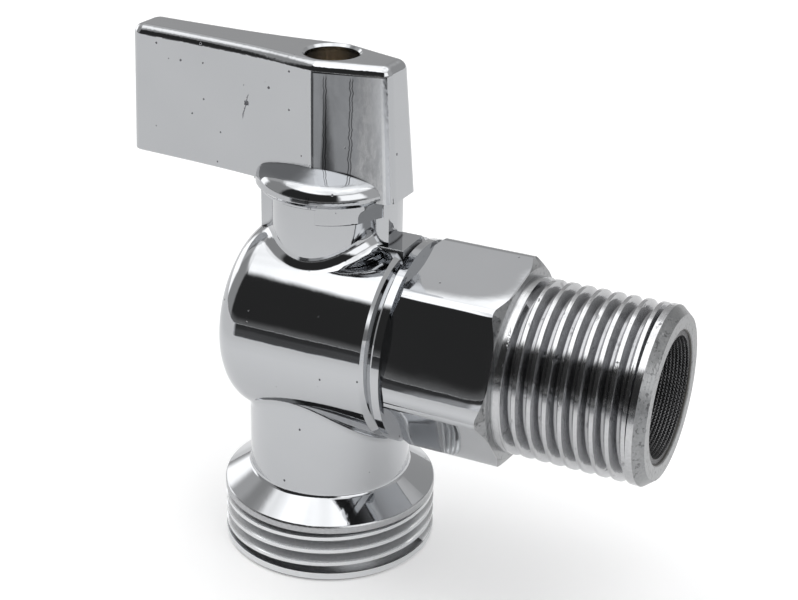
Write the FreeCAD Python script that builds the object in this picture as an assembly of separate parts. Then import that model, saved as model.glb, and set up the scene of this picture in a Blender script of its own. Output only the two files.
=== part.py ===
import FreeCAD, Part
import math
import os

os.makedirs("parts", exist_ok=True)

V = FreeCAD.Vector

# Frame: origin at the centre of the outlet's bottom face, +Z up the stem, +X toward the inlet.
# Heights named "rise" are measured up from the ball centre, lengths in mm.
ball_height = 29.2
axis_x = V(1, 0, 0)
axis_z = V(0, 0, 1)

# Overlap of joined shapes, and how near an edge must lie to be picked
lap = 0.5
near = 0.05

# Parallel pipe threads, 14 per inch, and their Whitworth depth
pitch = 1.814
thread_depth = 1.162
crest_flat = 0.42
root_flat = 0.30
thread_bury = 0.25
thread_crest_drop = 0.03
inlet_major = 20.955 / 2
outlet_major = 26.441 / 2

# Body barrel lying along X
barrel_r = 12.15
barrel_rear = -10.15
barrel_end = 12.4
barrel_rear_round = 3.8
lip_r = 12.25
lip_start = 11.45
groove_r = 11.45
groove_start = 9.9
groove_floor = 10.55
lip_foot_rise = 0.35

# Neck around the stem and its two stop lugs
neck_r = 7.0
neck_rise = 19.3
neck_round = 2.0
neck_crook_low = 5.0
neck_crook_high = 13.0
lug_half = 1.9
lug_r = 8.65
lug_low = 11.2
lug_top = 17.3
pad_half = 2.6
pad_end = 10.7
pad_top = 12.25
pad_start = 4.0

# Outlet pipe and its threaded end
pipe_r = 9.95
pipe_round = 1.4
pipe_crook_low = -12.5
pipe_crook_high = -2.0
pipe_foot_round = 0.6
shoulder_round = 0.35
cone_top = 10.1
cone_foot = 7.8
outlet_land = 0.85
outlet_tip_land = 0.8
ridge_run_out = 0.6
outlet_chamfer = 0.45
outlet_bore_r = 7.6
outlet_bore_top = 15.2
outlet_mouth_chamfer = 0.5

# Ball, its passage and its chamber
ball_r = 7.75
port_r = 4.3
chamber_gap = 0.4
chamber_r = ball_r + chamber_gap
chamber_rear = -(ball_r + 0.15)
slot_width = 3.1
slot_depth = 2.45
slot_floor = ball_r - slot_depth
seat_gap = 0.03

# Seat rings
seat_r = chamber_r - 0.02
seat_bore = 4.5
seat_front = 4.7
seat_back = ball_r - 0.15
rear_seat_bore = 3.4

# Screwed joint between body and end connector
joint_wall = 0.87
joint_r = chamber_r + joint_wall
joint_start = seat_back - 1.2
joint_fit = 0.02
joint_lead = 0.6
seal_width = 0.95
seal_inner = joint_r + 0.13
seal_outer = seal_inner + seal_width
seal_thick = 0.9

# End connector: hexagon, collar, inlet thread
hex_corner = 12.85
hex_turn = 19.6
hex_start = barrel_end
hex_end = 25.2
hex_round = 1.8
hex_rear_rise = 0.2
hex_rear_len = 1.0
hex_bevel_r = 11.35
hex_bevel_len = 1.1
collar_end = 26.35
inlet_tip = 43.0
inlet_tip_land = 0.75
inlet_tip_r = 9.56
inlet_chamfer = 1.15
thread_run_in = 0.45
ridge_turn = 200
inlet_bore_r = 7.72
inlet_bore_start = 18.6
inlet_cone_start = 16.2
edge_break = 0.25

# Strainer basket in the inlet bore
strainer_r = 7.42
strainer_wall = 0.3
strainer_corner = 1.2
strainer_start = 21.0
strainer_end = 42.7
strainer_rim_len = 1.0
strainer_rim_r = inlet_bore_r - 0.02

# Stem
stem_r = 3.5
stem_bore_r = 3.55
pocket_r = 4.7
flange_r = 4.4
flange_low = ball_r + 0.25
flange_thick = 1.7
flange_top = flange_low + flange_thick
thrust_washer_r = 4.62
thrust_washer_thick = 0.86
washer_gap = 0.02
washer_clear = 0.06
washer_low = flange_top + washer_gap
washer_high = washer_low + thrust_washer_thick
pocket_rise = washer_high + washer_gap
tang_thick = 3.0
tang_half_len = 3.6
tang_low = slot_floor + 0.15
shank_top = 19.58
square_side = 4.2
square_top = 25.7
ring_groove_r = 2.45
ring_groove_half = 0.6
ring_low = 12.9
ring_high = 16.1
ring_outer = 3.53
tap_r = 1.5
tap_depth = 8.0

# Lever handle
lever_top = 33.67
lever_low = 18.15
fin_low = 17.9
lever_lay = -2.6
tip_at_top = -26.2
tip_at_low = -26.6
fin_at_top = 8.6
fin_at_low = 9.7
tip_round = 1.6
fin_round = 1.3
top_round = 1.25
# distance along the lever, half width at the top, half width at the foot
lever_stations = [
    (tip_at_top, 2.75, 3.0),
    (-21.0, 2.85, 3.1),
    (-15.5, 3.05, 3.25),
    (-10.0, 3.4, 3.55),
    (-6.0, 3.85, 3.95),
    (-3.2, 4.3, 4.38),
    (0.2, 4.72, 4.8),
]
fin_half_top = 2.35
fin_half_foot = 3.0
crease_round = 1.3

# Domed shoulder under the lever and the skirt below it
dome_top = 22.6
dome_r = 8.9
dome_edge = 19.9
dome_round = 2.0
dome_low = 18.35
skirt_r = 8.28
skirt_step = 17.75
skirt_low = 17.45
skirt_bore = 7.15
skirt_ceiling = 19.6
skirt_edge = 0.2
tab_low = 15.6
tab_edge = 0.25
tab_lap = 0.2
stop_gap = 0.04
tab_flat_az = -26.0
tab_flat_at = 7.78
tab_flat_from = -2.15
tab_flat_roof = 17.3
tab_flat_corner = 0.9
recess_r = 3.16
recess_floor = square_top + 0.3
recess_chamfer = 0.3
square_fit = 0.03

# Handle screw and its spring washer
screw_head_r = 2.72
screw_head_h = 2.1
screw_crown = 1.155
screw_point = 0.4
screw_r = 1.48
screw_len = 7.0
cross_width = 0.75
cross_reach = 1.55
cross_depth = 1.2
cross_turn = 20
spring_washer_r = 2.95
spring_washer_hole = 1.6
spring_washer_h = 0.7
spring_washer_cut = 0.5
spring_washer_turn = 35


def cyl_x(r, x0, x1):
    """Cylinder about the inlet axis."""
    return Part.makeCylinder(r, x1 - x0, V(x0, 0, ball_height), axis_x)


def cyl_z(r, low, high):
    """Cylinder about the stem axis between two rises."""
    return Part.makeCylinder(r, high - low, V(0, 0, ball_height + low), axis_z)


def turned_x(outline):
    """Solid of revolution about the inlet axis from (x, r) points."""
    pts = [V(x, 0, ball_height + r) for x, r in outline]
    face = Part.Face(Part.makePolygon(pts + [pts[0]]))
    return face.revolve(V(0, 0, ball_height), axis_x, 360)


def turned_z(outline):
    """Solid of revolution about the stem axis from (r, rise) points."""
    pts = [V(r, 0, ball_height + z) for r, z in outline]
    face = Part.Face(Part.makePolygon(pts + [pts[0]]))
    return face.revolve(V(0, 0, 0), axis_z, 360)


def block(x0, x1, y0, y1, low, high):
    """Box between two rises."""
    return Part.makeBox(x1 - x0, y1 - y0, high - low, V(x0, y0, ball_height + low))


def thread_ridge(major, length):
    """Helical Whitworth ridge standing on +Z from the origin."""
    root = major - thread_depth
    crest = major - thread_crest_drop
    foot = root - thread_bury
    slope = (pitch - root_flat - crest_flat) / 2 / thread_depth
    half_crest = crest_flat / 2 + slope * thread_crest_drop
    half_foot = crest_flat / 2 + slope * (thread_depth + thread_bury)
    half_foot = min(half_foot, pitch / 2 - 0.02)
    helix = Part.Wire(Part.makeHelix(pitch, length, foot).Edges)
    pts = [
        V(foot, 0, -half_foot),
        V(crest, 0, -half_crest),
        V(crest, 0, half_crest),
        V(foot, 0, half_foot),
    ]
    profile = Part.makePolygon(pts + [pts[0]])
    return helix.makePipeShell([profile], True, True)


def on_inlet_axis(shape, x, turn):
    """Lay a +Z shape along the inlet axis with its origin at x."""
    shape.rotate(V(0, 0, 0), axis_z, turn)
    shape.rotate(V(0, 0, 0), V(0, 1, 0), 90)
    shape.translate(V(x, 0, ball_height))
    return shape


def edges_where(shape, test):
    """Edges whose middle point passes the test."""
    picked = []
    for edge in shape.Edges:
        mid = edge.valueAt((edge.FirstParameter + edge.LastParameter) / 2)
        if test(edge, mid.x, mid.y, mid.z - ball_height):
            picked.append(edge)
    return picked


def pipe_and_shoulder():
    """Outlet pipe that widens to the thread through a cone."""
    foot = -ball_height
    shape = turned_z([
        (0, 0),
        (pipe_r, 0),
        (pipe_r, foot + cone_top),
        (outlet_major, foot + cone_foot),
        (outlet_major, foot + cone_foot - outlet_land),
        (0, foot + cone_foot - outlet_land),
    ])
    inner = edges_where(shape, lambda e, x, y, z: e.Closed and abs(z - foot - cone_top) < near)
    shape = shape.makeFillet(pipe_foot_round, inner)
    outer = edges_where(shape, lambda e, x, y, z: e.Closed and abs(z - foot - cone_foot) < near)
    return shape.makeFillet(shoulder_round, outer)


def body_shell():
    """Barrel, neck and outlet pipe with their blended corners."""
    barrel = cyl_x(barrel_r, barrel_rear, barrel_end)
    rear = edges_where(barrel, lambda e, x, y, z: abs(x - barrel_rear) < 0.01 and e.Closed)
    barrel = barrel.makeFillet(barrel_rear_round, rear)
    barrel.rotate(V(0, 0, ball_height), axis_x, 90)
    neck = cyl_z(neck_r, 0, neck_rise)
    pipe = pipe_and_shoulder()
    solid = barrel.fuse(neck)
    crook = edges_where(solid, lambda e, x, y, z: abs(math.hypot(x, y) - neck_r) < near and neck_crook_low < z < neck_crook_high)
    solid = solid.makeFillet(neck_round, crook)
    solid = solid.fuse(pipe)
    crook = edges_where(solid, lambda e, x, y, z: abs(math.hypot(x, y) - pipe_r) < near and pipe_crook_low < z < pipe_crook_high)
    solid = solid.makeFillet(pipe_round, crook)
    return solid


def lip_groove():
    """Shallow turned groove that leaves the lip at the barrel's end."""
    over = lip_r + 1.5
    return turned_x([
        (groove_start, barrel_r + 0.001),
        (groove_floor, groove_r),
        (lip_start, groove_r + lip_foot_rise),
        (lip_start, over),
        (groove_start, over),
    ])


def stop_lugs():
    """Two stop lugs on the neck, front and rear of the stem."""
    disc = cyl_z(lug_r, lug_low, lug_top)
    bar = block(-lug_r - 1, lug_r + 1, -lug_half, lug_half, lug_low, lug_top)
    return disc.common(bar)


def outlet_end():
    """Threaded outlet end below the pipe."""
    foot = -ball_height
    root = outlet_major - thread_depth
    tip = turned_z([
        (0, foot + outlet_chamfer + outlet_tip_land),
        (outlet_major, foot + outlet_chamfer + outlet_tip_land),
        (outlet_major, foot + outlet_chamfer),
        (outlet_major - outlet_chamfer, foot),
        (0, foot),
    ])
    core = cyl_z(root, foot + outlet_chamfer / 2, foot + cone_foot)
    ridge_low = outlet_chamfer + ridge_run_out
    ridge_high = cone_foot - outlet_land / 2
    ridge = thread_ridge(outlet_major, ridge_high - ridge_low)
    ridge.translate(V(0, 0, ridge_low))
    return core.multiFuse([ridge, tip])


def body_passages():
    """Chamber, screwed mouth, stem bore and outlet bore."""
    chamber = cyl_x(chamber_r, chamber_rear, joint_start)
    mouth = cyl_x(joint_r + joint_fit, joint_start, barrel_end + 1)
    seal_bay = cyl_x(seal_outer + joint_fit, barrel_end - seal_thick, barrel_end + 1)
    pocket = cyl_z(pocket_r, 0, pocket_rise)
    bore = cyl_z(stem_bore_r, 0, neck_rise + 1)
    throat = cyl_z(port_r, -outlet_bore_top, 0)
    foot = -ball_height
    mouth_r = outlet_bore_r + outlet_mouth_chamfer
    outlet = turned_z([
        (0, -outlet_bore_top + outlet_bore_r - port_r),
        (port_r, -outlet_bore_top + outlet_bore_r - port_r),
        (outlet_bore_r, -outlet_bore_top),
        (outlet_bore_r, foot + outlet_mouth_chamfer),
        (mouth_r, foot),
        (mouth_r, foot - 1),
        (0, foot - 1),
    ])
    return chamber.multiFuse([mouth, seal_bay, pocket, bore, throat, outlet])


def valve_body():
    """Forged body: barrel, neck with stop lugs, outlet pipe and thread."""
    solid = body_shell()
    lip = cyl_x(lip_r, lip_start, barrel_end)
    pad = block(pad_start, pad_end, -pad_half, pad_half, 0, pad_top)
    solid = solid.cut(lip_groove())
    solid = solid.multiFuse([lip, pad, stop_lugs(), outlet_end()])
    return solid.cut(body_passages())


def hexagon():
    """Hexagon with a turned bevel toward the thread and eased edges."""
    pts = []
    for k in range(7):
        t = math.radians(hex_turn + 30 + 60 * k)
        pts.append(V(hex_start, -hex_corner * math.cos(t), ball_height + hex_corner * math.sin(t)))
    prism = Part.Face(Part.makePolygon(pts)).extrude(V(hex_end - hex_start, 0, 0))
    along = edges_where(prism, lambda e, x, y, z: abs(x - (hex_start + hex_end) / 2) < 0.01)
    prism = prism.makeFillet(hex_round, along)
    rise = hex_bevel_len / (hex_corner - hex_bevel_r)
    turned = turned_x([
        (hex_start, 0),
        (hex_start, hex_bevel_r + hex_rear_rise),
        (hex_start + hex_rear_len, hex_corner),
        (hex_end - rise * (hex_corner - hex_bevel_r), hex_corner),
        (hex_end, hex_bevel_r),
        (hex_end, 0),
    ])
    return prism.common(turned)


def inlet_thread():
    """Threaded length of the connector with its collar and plain tip."""
    root = inlet_major - thread_depth
    land_start = inlet_tip - inlet_chamfer - inlet_tip_land
    collar = cyl_x(inlet_major, hex_end - 1, collar_end)
    tip = turned_x([
        (land_start, 0),
        (land_start, inlet_major),
        (inlet_tip - inlet_chamfer, inlet_major),
        (inlet_tip, inlet_tip_r),
        (inlet_tip, 0),
    ])
    core = cyl_x(root, hex_end - 1, inlet_tip - inlet_chamfer / 2)
    ridge_start = collar_end - thread_run_in
    ridge = thread_ridge(inlet_major, land_start + inlet_tip_land / 2 - ridge_start)
    ridge = on_inlet_axis(ridge, ridge_start, ridge_turn)
    return core.multiFuse([ridge, collar, tip])


def end_connector():
    """Screwed end connector with hexagon and inlet thread."""
    nose = turned_x([
        (seat_back, 0),
        (seat_back, joint_r - joint_lead),
        (seat_back + joint_lead, joint_r),
        (hex_start + 1, joint_r),
        (hex_start + 1, 0),
    ])
    passage = turned_x([
        (seat_back - 1, 0),
        (seat_back - 1, seat_bore),
        (inlet_cone_start, seat_bore),
        (inlet_bore_start, inlet_bore_r),
        (inlet_tip - edge_break, inlet_bore_r),
        (inlet_tip, inlet_bore_r + edge_break),
        (inlet_tip + 1, inlet_bore_r + edge_break),
        (inlet_tip + 1, 0),
    ])
    solid = inlet_thread().multiFuse([nose, hexagon()])
    return solid.cut(passage)


def connector_seal_ring():
    """Flat seal ring in the recess at the mouth of the body."""
    ring = cyl_x(seal_outer, barrel_end - seal_thick, barrel_end)
    return ring.cut(cyl_x(seal_inner, barrel_end - seal_thick - 1, barrel_end + 1))


def ball():
    """Ball with an elbow passage and the stem slot on top."""
    centre = V(0, 0, ball_height)
    sphere = Part.makeSphere(ball_r, centre)
    side = cyl_x(port_r, 0, ball_r + 1)
    down = cyl_z(port_r, -ball_r - 1, 0)
    elbow = Part.makeSphere(port_r, centre)
    half = slot_width / 2
    slot = block(-half, half, -ball_r - 1, ball_r + 1, slot_floor, ball_r + 1)
    return sphere.cut(side.multiFuse([down, elbow, slot]))


def seat_ring(bore, back):
    """Seat ring about the inlet axis, hollowed to the ball."""
    ring = cyl_x(seat_r, seat_front, back)
    ring = ring.cut(cyl_x(bore, seat_front - 1, back + 1))
    return ring.cut(Part.makeSphere(ball_r + seat_gap, V(0, 0, ball_height)))


def inlet_seat_ring():
    """Seat ring held by the end connector's nose."""
    return seat_ring(seat_bore, seat_back)


def rear_seat_ring():
    """Seat ring against the closed rear wall of the chamber."""
    ring = seat_ring(rear_seat_bore, -chamber_rear)
    return ring.mirror(V(0, 0, ball_height), axis_x)


def stem():
    """Stem with tang, blow-out flange, seal grooves and square head."""
    solid = cyl_z(stem_r, flange_top - lap, shank_top)
    flange = cyl_z(flange_r, flange_low, flange_top)
    tang = block(-tang_thick / 2, tang_thick / 2, -tang_half_len, tang_half_len, tang_low, flange_low)
    half = square_side / 2
    square = block(-half, half, -half, half, shank_top, square_top)
    square.rotate(V(0, 0, 0), axis_z, lever_lay)
    solid = solid.multiFuse([flange, tang, square])
    for mid in (ring_low, ring_high):
        low = mid - ring_groove_half
        high = mid + ring_groove_half
        groove = cyl_z(stem_r + 1, low, high).cut(cyl_z(ring_groove_r, low, high))
        solid = solid.cut(groove)
    return solid.cut(cyl_z(tap_r, square_top - tap_depth, square_top + 1))


def stem_oring(rise):
    """Round seal ring in a stem groove."""
    section = (ring_outer - ring_groove_r) / 2
    centre = V(0, 0, ball_height + rise)
    return Part.makeTorus(ring_groove_r + section, section, centre, axis_z)


def stem_thrust_washer():
    """Washer between the stem flange and the roof of its pocket."""
    washer = cyl_z(thrust_washer_r, washer_low, washer_high)
    return washer.cut(cyl_z(stem_r + washer_clear, washer_low - 1, washer_high + 1))


def lever_outline(column, tip, fin, fin_half, rise):
    """Closed plan outline of the lever at one height."""
    height = ball_height + rise
    far = [V(tip, lever_stations[0][column], height)]
    near = [V(tip, -lever_stations[0][column], height)]
    for station in lever_stations[1:]:
        far.append(V(station[0], station[column], height))
        near.append(V(station[0], -station[column], height))
    upper = Part.BSplineCurve()
    upper.interpolate(far)
    lower = Part.BSplineCurve()
    lower.interpolate(near)
    far_fin = V(fin, fin_half, height)
    near_fin = V(fin, -fin_half, height)
    return Part.Wire([
        Part.makeLine(near[0], far[0]),
        upper.toShape(),
        Part.makeLine(far[-1], far_fin),
        Part.makeLine(far_fin, near_fin),
        Part.makeLine(near_fin, near[-1]),
        lower.toShape().reversed(),
    ])


def lever_blade():
    """Blade and hub block with rounded tip and eased top edge."""
    top = lever_outline(1, tip_at_top, fin_at_top, fin_half_top, lever_top)
    foot = lever_outline(2, tip_at_low, fin_at_low, fin_half_foot, fin_low)
    solid = Part.makeLoft([foot, top], True, True)
    middle = (lever_top + fin_low) / 2
    upright = edges_where(solid, lambda e, x, y, z: abs(z - middle) < 1 and abs(y) > 1)
    tip = [e for e in upright if e.CenterOfMass.x < tip_at_top + 1]
    solid = solid.makeFillet(tip_round, tip)
    upright = edges_where(solid, lambda e, x, y, z: abs(z - middle) < 1 and abs(y) > 1)
    fin = [e for e in upright if e.CenterOfMass.x > fin_at_top]
    solid = solid.makeFillet(fin_round, fin)
    upright = edges_where(solid, lambda e, x, y, z: abs(z - middle) < 1 and abs(y) > 1)
    crease = [e for e in upright if abs(e.CenterOfMass.x - lever_stations[-1][0]) < 1]
    solid = solid.makeFillet(crease_round, crease)
    rim = edges_where(solid, lambda e, x, y, z: abs(z - lever_top) < 0.01)
    solid = solid.makeFillet(top_round, rim)
    return solid.cut(block(tip_at_low - 1, lap - dome_r, -dome_r, dome_r, fin_low - 1, lever_low))


def lever_skirt():
    """Domed shoulder with the skirt around the neck."""
    shape = turned_z([
        (0, dome_top),
        (dome_r, dome_edge),
        (dome_r, dome_low),
        (skirt_r, skirt_step),
        (skirt_r, skirt_low),
        (0, skirt_low),
    ])
    shoulder = edges_where(shape, lambda e, x, y, z: e.Closed and abs(z - dome_edge) < 0.01)
    shape = shape.makeFillet(dome_round, shoulder)
    foot = edges_where(shape, lambda e, x, y, z: e.Closed and abs(z - skirt_low) < 0.01)
    return shape.makeFillet(skirt_edge, foot)


def stop_tab():
    """Tab that hangs between the stop lugs."""
    tab = cyl_z(skirt_r, tab_low, skirt_low + tab_lap)
    side = lug_half + stop_gap
    quarter = block(side, skirt_r + 1, -skirt_r - 1, -side, tab_low - 1, skirt_low + 1)
    tab = tab.common(quarter)
    rim = edges_where(tab, lambda e, x, y, z: math.hypot(x, y) > skirt_r - near and z < skirt_low)
    tab = tab.makeFillet(tab_edge, rim)
    flat = block(tab_flat_at, skirt_r + 1, tab_flat_from, skirt_r + 1, tab_low - 1, tab_flat_roof)
    corner = edges_where(
        flat,
        lambda e, x, y, z: abs(y - tab_flat_from) < near and abs(z - tab_flat_roof) < near,
    )
    flat = flat.makeFillet(tab_flat_corner, corner)
    flat.rotate(V(0, 0, 0), axis_z, tab_flat_az)
    return tab.cut(flat)


def handle():
    """Lever handle with its skirt, stop tab, socket and screw recess."""
    blade = lever_blade()
    socket = block(
        -square_side / 2 - square_fit,
        square_side / 2 + square_fit,
        -square_side / 2 - square_fit,
        square_side / 2 + square_fit,
        tab_low,
        recess_floor + 1,
    )
    blade.rotate(V(0, 0, 0), axis_z, lever_lay)
    socket.rotate(V(0, 0, 0), axis_z, lever_lay)
    recess = turned_z([
        (0, recess_floor),
        (recess_r, recess_floor),
        (recess_r, lever_top - recess_chamfer),
        (recess_r + recess_chamfer, lever_top),
        (recess_r + recess_chamfer, lever_top + 1),
        (0, lever_top + 1),
    ])
    cavity = cyl_z(skirt_bore, tab_low - 1, skirt_ceiling)
    solid = blade.multiFuse([lever_skirt(), stop_tab()])
    return solid.cut(cavity.multiFuse([socket, recess]))


def handle_screw_washer():
    """Split spring washer under the screw head."""
    high = recess_floor + spring_washer_h
    ring = cyl_z(spring_washer_r, recess_floor, high)
    ring = ring.cut(cyl_z(spring_washer_hole, recess_floor - 1, high + 1))
    half = spring_washer_cut / 2
    split = block(0, spring_washer_r + 1, -half, half, recess_floor - 1, high + 1)
    split.rotate(V(0, 0, 0), axis_z, spring_washer_turn)
    return ring.cut(split)


def handle_screw():
    """Pan head screw with a cross recess."""
    seat = recess_floor + spring_washer_h
    head = cyl_z(screw_head_r, seat, seat + screw_head_h)
    crown = edges_where(head, lambda e, x, y, z: e.Closed and abs(z - seat - screw_head_h) < 0.01)
    head = head.makeFillet(screw_crown, crown)
    shank = cyl_z(screw_r, seat - screw_len, seat)
    foot = V(0, 0, ball_height + seat - screw_len)
    point = Part.makeCone(screw_r - screw_point, screw_r, screw_point, foot, axis_z)
    tip = cyl_z(screw_r + 1, seat - screw_len, seat - screw_len + screw_point)
    solid = head.fuse(shank.cut(tip).fuse(point))
    top = seat + screw_head_h
    half = cross_width / 2
    one = block(-cross_reach, cross_reach, -half, half, top - cross_depth, top + 1)
    two = block(-half, half, -cross_reach, cross_reach, top - cross_depth, top + 1)
    cross = one.fuse(two)
    cross.rotate(V(0, 0, 0), axis_z, cross_turn)
    return solid.cut(cross)


def strainer_screen():
    """Thin closed-end basket lining the inlet bore."""
    inner = strainer_r - strainer_wall
    return turned_x([
        (strainer_start, 0),
        (strainer_start, strainer_r - strainer_corner),
        (strainer_start + strainer_corner, strainer_r),
        (strainer_end, strainer_r),
        (strainer_end, inner),
        (strainer_start + strainer_corner + strainer_wall, inner),
        (strainer_start + strainer_wall, inner - strainer_corner),
        (strainer_start + strainer_wall, 0),
    ])


def strainer_ring():
    """Rim ring that holds the basket in the bore."""
    start = strainer_end - strainer_rim_len
    ring = cyl_x(strainer_rim_r, start, strainer_end)
    return ring.cut(cyl_x(strainer_r, start - 1, strainer_end + 1))


def save(name, shape):
    """Write one sub-part."""
    shape.exportStep("parts/" + name + ".step")


save("valve_body", valve_body())
save("end_connector", end_connector())
save("connector_seal_ring", connector_seal_ring())
save("ball", ball())
save("inlet_seat_ring", inlet_seat_ring())
save("rear_seat_ring", rear_seat_ring())
save("stem", stem())
save("stem_oring_lower", stem_oring(ring_low))
save("stem_oring_upper", stem_oring(ring_high))
save("stem_thrust_washer", stem_thrust_washer())
save("handle", handle())
save("handle_screw", handle_screw())
save("handle_screw_washer", handle_screw_washer())
save("strainer_screen", strainer_screen())
save("strainer_ring", strainer_ring())
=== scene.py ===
import bpy
import math
from mathutils import Matrix, Vector

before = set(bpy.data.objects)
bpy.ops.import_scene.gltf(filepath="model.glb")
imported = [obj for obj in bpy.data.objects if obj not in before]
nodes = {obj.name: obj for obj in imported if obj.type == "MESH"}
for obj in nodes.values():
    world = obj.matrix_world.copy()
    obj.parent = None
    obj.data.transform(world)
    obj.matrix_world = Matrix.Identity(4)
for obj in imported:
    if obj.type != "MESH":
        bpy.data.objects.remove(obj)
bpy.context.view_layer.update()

# Heights, lengths and radii in metres, in the model's own frame
BALL_HEIGHT = 0.0292
OUTLET_THREAD_TOP = 0.0080
OUTLET_CREST_R = 0.01322
OUTLET_BORE_R = 0.0082
OUTLET_BORE_TOP = 0.0155
INLET_THREAD_START = 0.0262
INLET_ROOT_R = 0.00932
INLET_CREST_R = 0.01048
INLET_BORE_R = 0.00785
INLET_END = 0.0416
HEX_END = 0.0257
RECESS_R = 0.00325
RECESS_TOP = 0.06215
SCREEN_R = 0.0073
WIRE_PITCH = 0.00042

# Crown of the hexagon's flats, with the bearing of the front flat in degrees
HEX_TURN = 19.6
HEX_MIDDLE = 0.0188
HEX_HALF_LENGTH = 0.0064
HEX_HALF_WIDTH = 0.00642
HEX_CROWN = 0.00085

# Crown of the hub, and the place and sway of each pair of painted reflection lines on it
HUB_MIDDLE = 0.0046
HUB_CROWN = 19.0
HUB_REFLECTION_LINES = [(0.0014, 0.0005), (0.0044, 0.0008)]
REFLECTION_LINE_HALF_WIDTH = 0.00014

# Casting hole on the blade, and how far the painted shade reaches out from an inner corner into the
# plate
HOLE_X = -0.00951
HOLE_Z = 0.05620
CREASE_SHADE_REACH = 0.0007

# Colours used more than once
WHITE = (1.0, 1.0, 1.0, 1.0)
PLATE_DARK = (0.475, 0.485, 0.50, 1.0)
PLATE_LIGHT = (0.545, 0.555, 0.57, 1.0)
PIT_COLOUR = (0.10, 0.10, 0.11, 1.0)
NICK_COLOUR = (0.12, 0.12, 0.13, 1.0)
# Near-black for the painted shade in inner corners and creases
CREASE_SHADE_COLOUR = (0.03, 0.03, 0.033, 1.0)

# Camera at the photograph's viewing angle
CAMERA_AT = Vector((0.08464, -0.16214, 0.11723))
CAMERA_TURN = 0.43614
CAMERA_TILT = 0.43629
CAMERA_ROLL = 0.02329
CAMERA_LENS = 75.13

# Floor: half its width, its glow for the camera, and its glow in reflections near and far
FLOOR_HALF = 30.0
FLOOR_SEEN = 0.28
FLOOR_NEAR = 0.19
FLOOR_FAR = 0.04

# Room: its level all round, below the horizon, and overhead from a height in degrees
ROOM_LEVEL = 0.60
GROUND_LEVEL = 0.80
OVERHEAD_FROM = 47.0
OVERHEAD_SOFT = 6.0
OVERHEAD_LEVEL = 1.75

# Soft panels: bearing of the middle, half width, lowest and highest angle, level
PANEL_SOFT = 8.0
PANELS = [
    (200.0, 24.0, -10.0, 46.0, 0.40),
    (-98.0, 45.0, -12.0, 10.0, 0.20),
    (-98.0, 45.0, 4.0, 58.0, 0.035),
    (162.0, 18.0, -10.0, 22.0, 1.90),
    (-30.0, 20.0, -10.0, 9.0, 0.25),
    (-30.0, 20.0, 11.0, 45.0, 1.80),
    (95.0, 50.0, -10.0, 32.0, 0.47),
    (95.0, 50.0, 34.0, 50.0, 0.73),
]

# Card on the floor in front: radii and height in metres, bearings in degrees
FLAG_NEAR = 0.135
FLAG_FAR = 6.0
FLAG_LIFT = 0.0004
FLAG_FROM = -126.0
FLAG_TO = -22.0
FLAG_STEPS = 24
FLAG_SOFT = 5.0
FLAG_BORDER_LEVEL = 0.85


def add_camera():
    """Camera that looks down at the valve from its inlet side."""
    turn, tilt, roll = CAMERA_TURN, CAMERA_TILT, CAMERA_ROLL
    ahead = Vector((
        -math.sin(turn) * math.cos(tilt),
        math.cos(turn) * math.cos(tilt),
        -math.sin(tilt),
    ))
    right = Vector((math.cos(turn), math.sin(turn), 0.0))
    up = right.cross(ahead)
    side = right * math.cos(roll) + up * math.sin(roll)
    top = up * math.cos(roll) - right * math.sin(roll)
    data = bpy.data.cameras.new("camera")
    data.lens = CAMERA_LENS
    data.sensor_width = 36.0
    data.clip_start = 0.005
    data.clip_end = 50.0
    camera = bpy.data.objects.new("camera", data)
    back = -ahead
    camera.matrix_world = Matrix((
        (side.x, top.x, back.x, CAMERA_AT.x),
        (side.y, top.y, back.y, CAMERA_AT.y),
        (side.z, top.z, back.z, CAMERA_AT.z),
        (0.0, 0.0, 0.0, 1.0),
    ))
    bpy.context.scene.collection.objects.link(camera)
    bpy.context.scene.camera = camera


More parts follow.
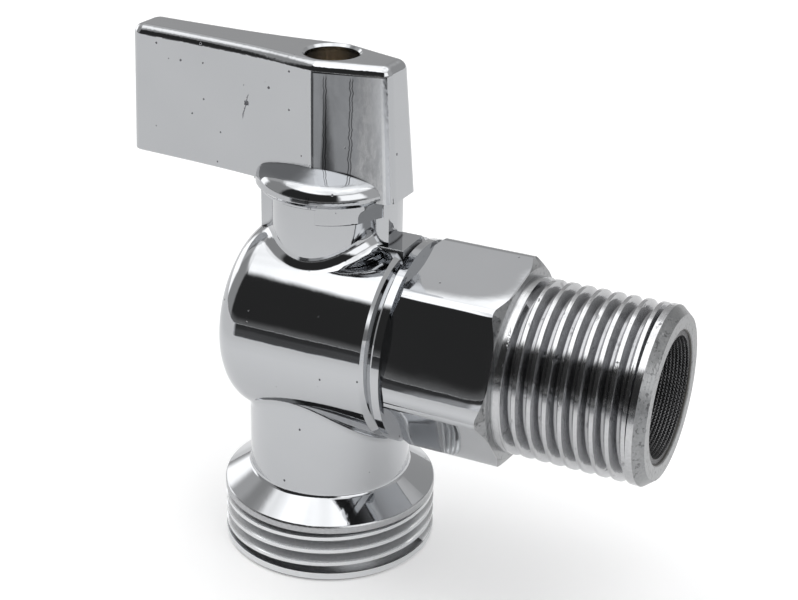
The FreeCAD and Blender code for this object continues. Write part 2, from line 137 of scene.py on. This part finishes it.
class Graph:
    """Short way to write a node tree."""

    def __init__(self, tree):
        self.tree = tree
        self.tree.nodes.clear()

    def add(self, kind, **settings):
        node = self.tree.nodes.new(kind)
        for key, value in settings.items():
            setattr(node, key, value)
        return node

    def plug(self, value, socket):
        if isinstance(value, bpy.types.NodeSocket):
            self.tree.links.new(value, socket)
        else:
            socket.default_value = value

    def math(self, op, a, b=0.0, c=0.0):
        node = self.add("ShaderNodeMath", operation=op)
        self.plug(a, node.inputs[0])
        self.plug(b, node.inputs[1])
        self.plug(c, node.inputs[2])
        return node.outputs[0]

    def distance(self, a, b):
        squares = self.math("ADD", self.math("MULTIPLY", a, a), self.math("MULTIPLY", b, b))
        return self.math("SQRT", squares)

    def ramp(self, value, low, high, out_low=0.0, out_high=1.0):
        node = self.add("ShaderNodeMapRange", interpolation_type="SMOOTHSTEP")
        self.plug(value, node.inputs["Value"])
        self.plug(low, node.inputs["From Min"])
        self.plug(high, node.inputs["From Max"])
        self.plug(out_low, node.inputs["To Min"])
        self.plug(out_high, node.inputs["To Max"])
        return node.outputs[0]

    def above(self, value, limit, soft):
        return self.ramp(value, limit - soft, limit + soft)

    def below(self, value, limit, soft):
        return self.ramp(value, limit - soft, limit + soft, 1.0, 0.0)

    def mix(self, factor, a, b):
        node = self.add("ShaderNodeMix", data_type="RGBA")
        self.plug(factor, node.inputs[0])
        self.plug(a, node.inputs[6])
        self.plug(b, node.inputs[7])
        return node.outputs[2]

    def blend(self, factor, a, b):
        node = self.add("ShaderNodeMix", data_type="FLOAT")
        self.plug(factor, node.inputs[0])
        self.plug(a, node.inputs[2])
        self.plug(b, node.inputs[3])
        return node.outputs[0]

    def place(self):
        return self.add("ShaderNodeTexCoord").outputs["Object"]

    def facing(self):
        return self.split(self.add("ShaderNodeTexCoord").outputs["Normal"])

    def split(self, vector):
        node = self.add("ShaderNodeSeparateXYZ")
        self.plug(vector, node.inputs[0])
        return node.outputs[0], node.outputs[1], node.outputs[2]

    def scaled(self, vector, sizes):
        node = self.add("ShaderNodeVectorMath", operation="MULTIPLY")
        self.plug(vector, node.inputs[0])
        node.inputs[1].default_value = sizes
        return node.outputs[0]

    def noise(self, vector, scale, detail=2.0, rough=0.5):
        node = self.add("ShaderNodeTexNoise")
        self.plug(vector, node.inputs["Vector"])
        node.inputs["Scale"].default_value = scale
        node.inputs["Detail"].default_value = detail
        node.inputs["Roughness"].default_value = rough
        return node.outputs["Fac"]

    def cells(self, vector, scale):
        node = self.add("ShaderNodeTexVoronoi")
        self.plug(vector, node.inputs["Vector"])
        node.inputs["Scale"].default_value = scale
        return node.outputs["Distance"], node.outputs["Color"]

    # Ambient occlusion made into a mask that darkens inner corners and creases: painted shade
    def painted_crease_shade(self, reach):
        node = self.add("ShaderNodeAmbientOcclusion", only_local=True, samples=8)
        node.inputs["Distance"].default_value = reach
        return self.ramp(node.outputs["AO"], 0.42, 0.80, 0.8, 0.0)

    def bump(self, height, distance, strength=1.0, normal=None):
        node = self.add("ShaderNodeBump")
        self.plug(height, node.inputs["Height"])
        node.inputs["Distance"].default_value = distance
        self.plug(strength, node.inputs["Strength"])
        if normal is not None:
            self.plug(normal, node.inputs["Normal"])
        return node.outputs["Normal"]

    def shader(self, **inputs):
        node = self.add("ShaderNodeBsdfPrincipled")
        for key, value in inputs.items():
            self.plug(value, node.inputs[key.replace("_", " ")])
        out = self.add("ShaderNodeOutputMaterial")
        self.tree.links.new(node.outputs[0], out.inputs["Surface"])
        return node


def new_material(name):
    """Empty node material and its graph."""
    material = bpy.data.materials.new(name)
    material.use_nodes = True
    return material, Graph(material.node_tree)


def plated_colour(g, place, scale):
    """Plate with slow clouds of darker and lighter metal."""
    cloud = g.noise(place, scale, 3.0, 0.55)
    return g.mix(cloud, PLATE_DARK, PLATE_LIGHT)


def plated_waves(g, place, normal=None):
    """Slow waviness left by the polishing under the plate."""
    slow = g.noise(place, 120.0, 1.0, 0.4)
    fine = g.noise(place, 620.0, 2.0, 0.5)
    normal = g.bump(slow, 0.00007, 1.0, normal)
    return g.bump(fine, 0.000006, 1.0, normal)


def pitted(g, speck, depth, normal):
    """Surface sunk where the specks are."""
    return g.bump(g.math("MULTIPLY", speck, -1.0), depth, 1.0, normal)


def pits(g, place, scale, share, radius):
    """Few small round pits, dark at the bottom."""
    distance, colour = g.cells(place, scale)
    chance, growth = g.split(colour)[:2]
    chosen = g.math("LESS_THAN", chance, share)
    size = g.math("MULTIPLY", g.math("ADD", growth, 0.4), radius)
    inside = g.ramp(g.math("DIVIDE", distance, size), 0.6, 1.0, 1.0, 0.0)
    return g.math("MULTIPLY", inside, chosen)


def crowned_flats(g, x, y, up, from_inlet):
    """Height of the hexagon's flats, rounded toward their edges, and the share of it on each flat."""
    turn = g.math("DEGREES", g.math("ARCTAN2", up, g.math("MULTIPLY", y, -1.0)))
    off = g.math("SUBTRACT", turn, HEX_TURN)
    turn = g.math("WRAP", off, 30.0, -30.0)
    across = g.math("MULTIPLY", from_inlet, g.math("SINE", g.math("RADIANS", turn)))
    across = g.math("DIVIDE", across, HEX_HALF_WIDTH)
    low = g.math("MAXIMUM", g.math("MULTIPLY", across, -1.0), g.math("MULTIPLY", across, 0.55))
    along = g.math("DIVIDE", g.math("SUBTRACT", x, HEX_MIDDLE), HEX_HALF_LENGTH)
    out = g.math("MAXIMUM", along, g.math("MULTIPLY", along, -0.6))
    fall = g.math("ADD", g.math("POWER", low, 4.0), g.math("POWER", out, 4.0))
    height = g.math("MULTIPLY", fall, -HEX_CROWN)
    front = g.math("LESS_THAN", g.math("ABSOLUTE", off), 30.0)
    return height, g.blend(front, 0.3, 1.0)


def blow_hole(g, place):
    """One casting hole on the blade with a hairline running down from it."""
    x, y, z = g.split(place)
    wobble = g.math("MULTIPLY", g.math("SUBTRACT", g.noise(place, 900.0, 3.0, 0.6), 0.5), 0.0009)
    aside = g.math("SUBTRACT", x, HOLE_X)
    above = g.math("SUBTRACT", z, HOLE_Z)
    spread = g.math("ADD", g.distance(aside, above), wobble)
    hole = g.ramp(spread, 0.00020, 0.00042, 1.0, 0.0)
    lean = g.math("SUBTRACT", aside, g.math("MULTIPLY", above, 0.32))
    line = g.ramp(g.math("ABSOLUTE", g.math("ADD", lean, wobble)), 0.00004, 0.00012, 1.0, 0.0)
    along = g.math("MULTIPLY", g.ramp(above, -0.0024, -0.0014), g.ramp(above, 0.0008, 0.0012, 1.0, 0.0))
    near = g.ramp(y, -0.001, 0.0, 1.0, 0.0)
    mark = g.math("MAXIMUM", hole, g.math("MULTIPLY", g.math("MULTIPLY", line, along), 0.8))
    return g.math("MULTIPLY", mark, near)


def painted_reflection_lines(g, place):
    """Thin wavering lines in pairs on the hub: painted reflections drawn into the plate's colour."""
    x, y, z = g.split(place)
    lines = 0.0
    for middle, sway in HUB_REFLECTION_LINES:
        shift = g.noise(g.scaled(place, (0.0, 0.0, 700.0)), 1.0, 4.0, 0.65)
        shift = g.math("MULTIPLY", g.math("SUBTRACT", shift, 0.5), sway)
        off = g.math("ABSOLUTE", g.math("ADD", g.math("SUBTRACT", x, middle), shift))
        apart = g.math("ABSOLUTE", g.math("SUBTRACT", off, REFLECTION_LINE_HALF_WIDTH))
        lines = g.math("MAXIMUM", g.ramp(apart, 0.00003, 0.00009, 0.85, 0.0), lines)
    lines = g.math("MULTIPLY", lines, g.ramp(y, -0.0010, 0.0, 1.0, 0.0))
    return g.math("MULTIPLY", lines, g.ramp(z, 0.0610, 0.0616, 1.0, 0.0))


def chrome_body():
    """Polished plate, with a machined outlet thread and a duller bore."""
    material, g = new_material("body_chrome_plate")
    place = g.place()
    x, y, z = g.split(place)
    from_stem = g.distance(x, y)
    thread = g.below(z, OUTLET_THREAD_TOP - 0.00015, 0.00015)
    bore = g.below(from_stem, OUTLET_BORE_R, 0.0001)
    bore = g.math("MULTIPLY", bore, g.below(z, OUTLET_BORE_TOP, 0.0005))
    crest = g.ramp(from_stem, OUTLET_CREST_R - 0.00030, OUTLET_CREST_R - 0.00008)
    crest = g.math("MULTIPLY", crest, g.below(z, OUTLET_THREAD_TOP - 0.00115, 0.00005))
    smudge = g.noise(g.scaled(place, (1.0, 1.0, 0.35)), 210.0, 4.0, 0.6)
    speck = pits(g, place, 520.0, 0.55, 0.07)
    turned = g.noise(g.scaled(place, (60.0, 60.0, 5200.0)), 1.0, 2.0, 0.6)
    grit = g.noise(place, 2600.0, 3.0, 0.65)
    plate = g.mix(speck, plated_colour(g, place, 55.0), PIT_COLOUR)
    # Inner corners and creases darkened towards near-black: painted shade
    plate = g.mix(g.painted_crease_shade(CREASE_SHADE_REACH), plate, CREASE_SHADE_COLOUR)
    cut = g.mix(grit, (0.36, 0.365, 0.375, 1.0), (0.56, 0.565, 0.575, 1.0))
    cut = g.mix(crest, cut, (0.78, 0.79, 0.80, 1.0))
    colour = g.mix(thread, plate, cut)
    colour = g.mix(bore, colour, (0.42, 0.40, 0.36, 1.0))
    smooth = g.blend(smudge, 0.025, 0.075)
    dull = g.blend(crest, g.blend(grit, 0.24, 0.38), 0.14)
    rough = g.blend(thread, smooth, dull)
    rough = g.blend(bore, rough, 0.34)
    normal = pitted(g, speck, 0.00004, plated_waves(g, place))
    normal = g.bump(g.math("MULTIPLY", turned, thread), 0.000014, 1.0, normal)
    g.shader(Base_Color=colour, Metallic=1.0, Roughness=rough, Normal=normal)
    return material


def chrome_connector():
    """Polished hexagon and turned thread with its cut marks."""
    material, g = new_material("connector_chrome_plate")
    place = g.place()
    x, y, z = g.split(place)
    up = g.math("SUBTRACT", z, BALL_HEIGHT)
    from_inlet = g.distance(y, up)
    thread = g.above(x, INLET_THREAD_START - 0.0011, 0.0001)
    root = g.ramp(from_inlet, INLET_ROOT_R, INLET_CREST_R, 1.0, 0.0)
    bore = g.below(from_inlet, INLET_BORE_R, 0.00005)
    face = g.ramp(g.facing()[0], 0.30, 0.45)
    smudge = g.noise(place, 260.0, 4.0, 0.6)
    speck = pits(g, place, 500.0, 0.45, 0.07)
    scratch = g.noise(g.scaled(place, (35.0, 900.0, 900.0)), 1.0, 2.0, 0.5)
    turned = g.noise(g.scaled(place, (5200.0, 60.0, 60.0)), 1.0, 2.0, 0.6)
    grit = g.noise(place, 2400.0, 4.0, 0.7)
    nick = g.ramp(g.noise(g.scaled(place, (900.0, 420.0, 420.0)), 1.0, 3.0, 0.65), 0.60, 0.72)
    plate = g.mix(speck, plated_colour(g, place, 70.0), PIT_COLOUR)
    cut = g.mix(grit, (0.42, 0.425, 0.435, 1.0), (0.66, 0.665, 0.675, 1.0))
    cut = g.mix(g.math("MULTIPLY", nick, 0.55), cut, NICK_COLOUR)
    # Thread roots darkened towards the root radius: painted shade in the grooves
    cut = g.mix(g.math("MULTIPLY", root, 0.50), cut, (0.18, 0.18, 0.19, 1.0))
    colour = g.mix(thread, plate, cut)
    end = g.math("MAXIMUM", g.above(x, INLET_END, 0.0002), g.below(x, HEX_END, 0.0001))
    turned_end = g.math("MULTIPLY", face, end)
    fleck = g.ramp(g.noise(place, 1700.0, 3.0, 0.7), 0.55, 0.64)
    grey = g.mix(grit, (0.20, 0.205, 0.21, 1.0), (0.42, 0.425, 0.43, 1.0))
    grey = g.mix(g.math("MULTIPLY", fleck, 0.6), grey, (0.07, 0.07, 0.075, 1.0))
    colour = g.mix(turned_end, colour, grey)
    # Bore wall near-black and rough: painted shade of the dark inside
    colour = g.mix(bore, colour, (0.10, 0.097, 0.09, 1.0))
    smooth = g.blend(smudge, 0.03, 0.085)
    rough = g.blend(thread, smooth, g.blend(grit, 0.08, 0.24))
    rough = g.blend(turned_end, rough, g.blend(grit, 0.22, 0.40))
    rough = g.blend(bore, rough, 0.5)
    plain = g.math("SUBTRACT", 1.0, thread)
    crown, share = crowned_flats(g, x, y, up, from_inlet)
    normal = g.bump(crown, 1.0, g.math("MULTIPLY", plain, share))
    normal = plated_waves(g, place, normal)
    normal = pitted(g, speck, 0.00004, normal)
    normal = g.bump(g.math("MULTIPLY", scratch, plain), 0.0000022, 1.0, normal)
    normal = g.bump(g.math("MULTIPLY", turned, thread), 0.000026, 1.0, normal)
    normal = g.bump(g.math("MULTIPLY", nick, thread), -0.00003, 1.0, normal)
    g.shader(Base_Color=colour, Metallic=1.0, Roughness=rough, Normal=normal)
    return material


def chrome_handle():
    """Polished plate over a casting, with pits, a hub lighter towards its far end (partly wear, partly
    painted sheen) and a recess wall with a painted reflection of the screw.
    """
    material, g = new_material("handle_chrome_plate")
    place = g.place()
    x, y, z = g.split(place)
    recess = g.below(g.distance(x, y), RECESS_R, 0.00005)
    recess = g.math("MULTIPLY", recess, g.below(z, RECESS_TOP, 0.00015))
    smudge = g.noise(place, 230.0, 4.0, 0.6)
    small = pits(g, place, 560.0, 0.55, 0.085)
    speck = g.math("MAXIMUM", small, blow_hole(g, place))
    rubbed = g.noise(g.scaled(place, (1500.0, 1500.0, 40.0)), 1.0, 2.0, 0.5)
    sideways = g.math("ABSOLUTE", g.facing()[1])
    hub = g.math("MULTIPLY", g.ramp(sideways, 0.90, 0.94), g.ramp(x, 0.0004, 0.0016))
    brushed = g.noise(g.scaled(place, (1100.0, 1100.0, 420.0)), 1.0, 4.0, 0.7)
    # Hub lighter towards its far end, with brushed streaks: partly wear, partly painted sheen
    wear_and_sheen = g.ramp(g.math("ADD", x, g.math("MULTIPLY", brushed, 0.0030)), 0.0054, 0.0080)
    wear_and_sheen = g.math("MULTIPLY", g.math("MULTIPLY", hub, wear_and_sheen), g.ramp(brushed, 0.30, 0.65, 0.35, 1.0))
    plate = g.mix(wear_and_sheen, plated_colour(g, place, 60.0), (0.72, 0.725, 0.73, 1.0))
    # Two pairs of wavering near-black lines on the hub: painted reflections
    lines = g.math("MULTIPLY", painted_reflection_lines(g, place), hub)
    plate = g.mix(lines, plate, (0.07, 0.07, 0.075, 1.0))
    plate = g.mix(speck, plate, NICK_COLOUR)
    # Inner corners and creases darkened towards near-black: painted shade
    plate = g.mix(g.painted_crease_shade(CREASE_SHADE_REACH), plate, CREASE_SHADE_COLOUR)
    # Recess wall in streaky brown-grey: a painted reflection of the yellow screw below
    streak = g.noise(g.scaled(place, (2600.0, 2600.0, 60.0)), 1.0, 3.0, 0.6)
    painted_screw_reflection = g.mix(streak, (0.34, 0.32, 0.295, 1.0), (0.82, 0.80, 0.77, 1.0))
    colour = g.mix(recess, plate, painted_screw_reflection)
    rough = g.blend(smudge, 0.03, 0.09)
    rough = g.blend(hub, rough, g.blend(wear_and_sheen, 0.04, 0.22))
    rough = g.blend(recess, rough, 0.22)
    hub_off = g.math("SUBTRACT", x, HUB_MIDDLE)
    hub_crown = g.math("MULTIPLY", g.math("MULTIPLY", hub_off, hub_off), -HUB_CROWN)
    normal = plated_waves(g, place, g.bump(hub_crown, 1.0, hub))
    normal = g.bump(rubbed, 0.0000012, 1.0, normal)
    normal = pitted(g, speck, 0.00005, normal)
    g.shader(Base_Color=colour, Metallic=1.0, Roughness=rough, Normal=normal)
    return material


def chrome_ball():
    """Mirror-bright ball with faint rings from turning."""
    material, g = new_material("ball_chrome_plate")
    place = g.place()
    ring = g.noise(g.scaled(place, (60.0, 60.0, 2600.0)), 1.0, 2.0, 0.5)
    smudge = g.noise(place, 300.0, 4.0, 0.6)
    colour = g.mix(smudge, (0.60, 0.61, 0.63, 1.0), (0.68, 0.69, 0.71, 1.0))
    rough = g.blend(smudge, 0.03, 0.08)
    normal = g.bump(ring, 0.0000015)
    g.shader(Base_Color=colour, Metallic=1.0, Roughness=rough, Normal=normal)
    return material


def waxy_seat():
    """White low-friction plastic with faint turning marks."""
    material, g = new_material("seat_ptfe_white")
    place = g.place()
    cloud = g.noise(place, 190.0, 4.0, 0.6)
    ring = g.noise(g.scaled(place, (2400.0, 120.0, 120.0)), 1.0, 2.0, 0.5)
    colour = g.mix(cloud, (0.80, 0.80, 0.77, 1.0), (0.90, 0.90, 0.88, 1.0))
    rough = g.blend(cloud, 0.38, 0.52)
    g.shader(Base_Color=colour, Metallic=0.0, Roughness=rough, Normal=g.bump(ring, 0.000004))
    return material


def fibre_seal():
    """Pressed red fibre with short strands."""
    material, g = new_material("seal_fibre_red")
    place = g.place()
    strand = g.noise(g.scaled(place, (900.0, 3200.0, 900.0)), 1.0, 4.0, 0.7)
    colour = g.mix(strand, (0.36, 0.06, 0.04, 1.0), (0.55, 0.13, 0.09, 1.0))
    g.shader(Base_Color=colour, Metallic=0.0, Roughness=0.78, Normal=g.bump(strand, 0.00002))
    return material


def turned_brass():
    """Brass stem with turning marks."""
    material, g = new_material("stem_brass_turned")
    place = g.place()
    line = g.noise(g.scaled(place, (90.0, 90.0, 4200.0)), 1.0, 2.0, 0.6)
    tone = g.noise(place, 160.0, 3.0, 0.6)
    colour = g.mix(tone, (0.64, 0.44, 0.18, 1.0), (0.80, 0.60, 0.30, 1.0))
    rough = g.blend(line, 0.18, 0.34)
    g.shader(Base_Color=colour, Metallic=1.0, Roughness=rough, Normal=g.bump(line, 0.000006))
    return material


def black_rubber():
    """Matt black rubber with a dusty bloom."""
    material, g = new_material("oring_rubber_black")
    place = g.place()
    bloom = g.noise(place, 420.0, 5.0, 0.65)
    colour = g.mix(bloom, (0.012, 0.012, 0.013, 1.0), (0.045, 0.045, 0.047, 1.0))
    rough = g.blend(bloom, 0.45, 0.68)
    g.shader(Base_Color=colour, Metallic=0.0, Roughness=rough, Normal=g.bump(bloom, 0.000006))
    return material


def yellow_screw():
    """Yellow plated screw with dull patches."""
    material, g = new_material("screw_yellow_plate")
    place = g.place()
    tone = g.noise(place, 520.0, 4.0, 0.65)
    colour = g.mix(tone, (0.34, 0.25, 0.15, 1.0), (0.70, 0.56, 0.36, 1.0))
    rough = g.blend(tone, 0.22, 0.42)
    g.shader(Base_Color=colour, Metallic=1.0, Roughness=rough, Normal=g.bump(tone, 0.000012))
    return material


def plain_steel(name, low, high):
    """Plain steel with a fine grain."""
    material, g = new_material(name)
    place = g.place()
    grain = g.noise(place, 900.0, 4.0, 0.65)
    colour = g.mix(grain, low, high)
    rough = g.blend(grain, 0.22, 0.40)
    g.shader(Base_Color=colour, Metallic=1.0, Roughness=rough, Normal=g.bump(grain, 0.000008))
    return material


def woven_wire():
    """Fine wire cloth wrapped slantwise round the inlet axis."""
    material, g = new_material("strainer_wire_cloth")
    place = g.place()
    x, y, z = g.split(place)
    up = g.math("SUBTRACT", z, BALL_HEIGHT)
    around = g.math("MULTIPLY", g.math("ARCTAN2", up, y), SCREEN_R)
    waves = []
    for slant in ("ADD", "SUBTRACT"):
        wires = g.math("DIVIDE", g.math(slant, x, around), WIRE_PITCH)
        waves.append(g.math("SINE", g.math("MULTIPLY", wires, math.pi)))
    high = g.math("MAXIMUM", g.math("ABSOLUTE", waves[0]), g.math("ABSOLUTE", waves[1]))
    over = g.math("MULTIPLY", waves[0], waves[1])
    metal = g.ramp(high, 0.55, 0.86)
    tone = g.noise(place, 700.0, 3.0, 0.6)
    # Wires in dark grey and gaps in near-black: painted shade of the shadowed mouth the cloth sits in
    bright = g.mix(tone, (0.09, 0.09, 0.095, 1.0), (0.26, 0.26, 0.265, 1.0))
    colour = g.mix(metal, (0.012, 0.012, 0.013, 1.0), bright)
    height = g.math("ADD", high, g.math("MULTIPLY", over, 0.3))
    normal = g.bump(height, 0.00012)
    g.shader(Base_Color=colour, Metallic=0.9, Roughness=g.blend(metal, 0.7, 0.28), Normal=normal)
    return material


def dress():
    """Give every CAD node its finish."""
    steel_washer = plain_steel("washer_plain_steel", (0.34, 0.34, 0.35, 1.0), (0.58, 0.58, 0.59, 1.0))
    cloth = woven_wire()
    seat = waxy_seat()
    rubber = black_rubber()
    finishes = {
        "valve_body": chrome_body(),
        "end_connector": chrome_connector(),
        "connector_seal_ring": fibre_seal(),
        "ball": chrome_ball(),
        "inlet_seat_ring": seat,
        "rear_seat_ring": seat,
        "stem": turned_brass(),
        "stem_oring_lower": rubber,
        "stem_oring_upper": rubber,
        "stem_thrust_washer": seat,
        "handle": chrome_handle(),
        "handle_screw": yellow_screw(),
        "handle_screw_washer": steel_washer,
        "strainer_screen": cloth,
        # The strainer ring takes the same dark cloth, so it carries the same painted shade
        "strainer_ring": cloth,
    }
    for name, material in finishes.items():
        mesh = nodes[name].data
        for k in range(len(mesh.materials)):
            mesh.materials[k] = material
        if not mesh.materials:
            mesh.materials.append(material)


def add_floor():
    """Wide pale floor that also closes the view to the horizon."""
    mesh = bpy.data.meshes.new("floor")
    half = FLOOR_HALF
    corners = [(-half, -half, 0.0), (half, -half, 0.0), (half, half, 0.0), (-half, half, 0.0)]
    mesh.from_pydata(corners, [], [(0, 1, 2, 3)])
    floor = bpy.data.objects.new("floor", mesh)
    bpy.context.scene.collection.objects.link(floor)
    material, g = new_material("floor_pale")
    place = g.place()
    cloud = g.noise(place, 3.0, 2.0, 0.5)
    tone = g.mix(cloud, (0.785, 0.785, 0.79, 1.0), (0.815, 0.815, 0.815, 1.0))
    paint = g.add("ShaderNodeBsdfDiffuse")
    g.plug(tone, paint.inputs["Color"])
    glow = g.add("ShaderNodeEmission")
    glow.inputs["Color"].default_value = WHITE
    path = g.add("ShaderNodeLightPath")
    x, y = g.split(place)[:2]
    away = g.distance(x, y)
    mirrored = g.math("MAXIMUM", path.outputs["Is Glossy Ray"], path.outputs["Is Transmission Ray"])
    mirrored = g.math("MULTIPLY", mirrored, g.ramp(away, 0.06, 0.13, FLOOR_NEAR, FLOOR_FAR))
    seen = g.math("MULTIPLY", path.outputs["Is Camera Ray"], FLOOR_SEEN)
    g.plug(g.math("MAXIMUM", seen, mirrored), glow.inputs["Strength"])
    both = g.add("ShaderNodeAddShader")
    g.tree.links.new(paint.outputs[0], both.inputs[0])
    g.tree.links.new(glow.outputs[0], both.inputs[1])
    out = g.add("ShaderNodeOutputMaterial")
    g.tree.links.new(both.outputs[0], out.inputs["Surface"])
    mesh.materials.append(material)


def add_flag():
    """Card on the floor in front, mostly dark, which shows only in reflections."""
    first, last = math.radians(FLAG_FROM), math.radians(FLAG_TO)
    turns = [first + (last - first) * k / FLAG_STEPS for k in range(FLAG_STEPS + 1)]
    points = []
    for radius, bearings in ((FLAG_NEAR, turns), (FLAG_FAR, turns[::-1])):
        for turn in bearings:
            points.append((radius * math.cos(turn), radius * math.sin(turn), FLAG_LIFT))
    mesh = bpy.data.meshes.new("flag")
    mesh.from_pydata(points, [], [tuple(range(len(points)))])
    flag = bpy.data.objects.new("flag", mesh)
    bpy.context.scene.collection.objects.link(flag)
    flag.visible_camera = False
    flag.visible_diffuse = False
    flag.visible_shadow = False
    flag.visible_transmission = False
    material, g = new_material("flag_dark")
    place = g.place()
    x, y = g.split(place)[:2]
    away = g.distance(x, y)
    tone = g.noise(place, 30.0, 3.0, 0.6)
    glow = g.add("ShaderNodeEmission")
    glow.inputs["Color"].default_value = (0.97, 0.98, 1.0, 1.0)
    turn = g.math("DEGREES", g.math("ARCTAN2", y, x))
    level = g.ramp(turn, -109.0, -103.0, 0.10, 0.42)
    level = g.blend(g.ramp(turn, -86.0, -72.0), level, 0.95)
    level = g.blend(g.ramp(away, FLAG_NEAR * 1.9, FLAG_NEAR * 3.2), level, 0.05)
    level = g.math("MULTIPLY", level, g.ramp(tone, 0.2, 0.8, 0.85, 1.15))
    border = g.ramp(away, FLAG_NEAR, FLAG_NEAR * 1.08, 1.0, 0.0)
    border = g.math("MAXIMUM", border, g.ramp(turn, FLAG_FROM, FLAG_FROM + FLAG_SOFT, 1.0, 0.0))
    border = g.math("MAXIMUM", border, g.ramp(turn, FLAG_TO - FLAG_SOFT, FLAG_TO))
    g.plug(g.blend(border, level, FLAG_BORDER_LEVEL), glow.inputs["Strength"])
    out = g.add("ShaderNodeOutputMaterial")
    g.tree.links.new(glow.outputs[0], out.inputs["Surface"])
    mesh.materials.append(material)


def panel(g, turn, rise, middle, half, low, high):
    """Weight of a soft-edged light panel, from its bearing and its heights in degrees."""
    off = g.math("SUBTRACT", turn, middle)
    off = g.math("ABSOLUTE", g.math("WRAP", off, 180.0, -180.0))
    across = g.below(off, half, PANEL_SOFT / 2)
    above = g.above(rise, low, PANEL_SOFT / 2)
    below = g.below(rise, high, PANEL_SOFT / 2)
    return g.math("MULTIPLY", across, g.math("MULTIPLY", above, below))


def add_studio():
    """Soft studio light: a broad glow overhead, and bright and dark panels all round."""
    world = bpy.data.worlds.new("studio")
    world.use_nodes = True
    bpy.context.scene.world = world
    g = Graph(world.node_tree)
    towards = g.add("ShaderNodeTexCoord").outputs["Generated"]
    x, y, z = g.split(towards)
    turn = g.math("DEGREES", g.math("ARCTAN2", y, x))
    rise = g.math("DEGREES", g.math("ARCSINE", z))
    strength = ROOM_LEVEL
    for middle, half, low, high, level in PANELS:
        weight = panel(g, turn, rise, middle, half, low, high)
        strength = g.blend(weight, strength, level)
    overhead = g.ramp(rise, OVERHEAD_FROM, OVERHEAD_FROM + OVERHEAD_SOFT)
    cloud = g.noise(towards, 2.2, 2.0, 0.5)
    bright = g.blend(g.ramp(cloud, 0.3, 0.7), OVERHEAD_LEVEL * 0.75, OVERHEAD_LEVEL * 1.25)
    strength = g.blend(overhead, strength, bright)
    ground = g.ramp(rise, -1.0, 0.0, 1.0, 0.0)
    strength = g.blend(ground, strength, GROUND_LEVEL)
    back = g.add("ShaderNodeBackground")
    back.inputs["Color"].default_value = WHITE
    g.plug(strength, back.inputs["Strength"])
    out = g.add("ShaderNodeOutputWorld")
    g.tree.links.new(back.outputs[0], out.inputs["Surface"])


add_camera()
add_floor()
add_flag()
add_studio()
dress()
bpy.context.scene.view_settings.view_transform = "Standard"
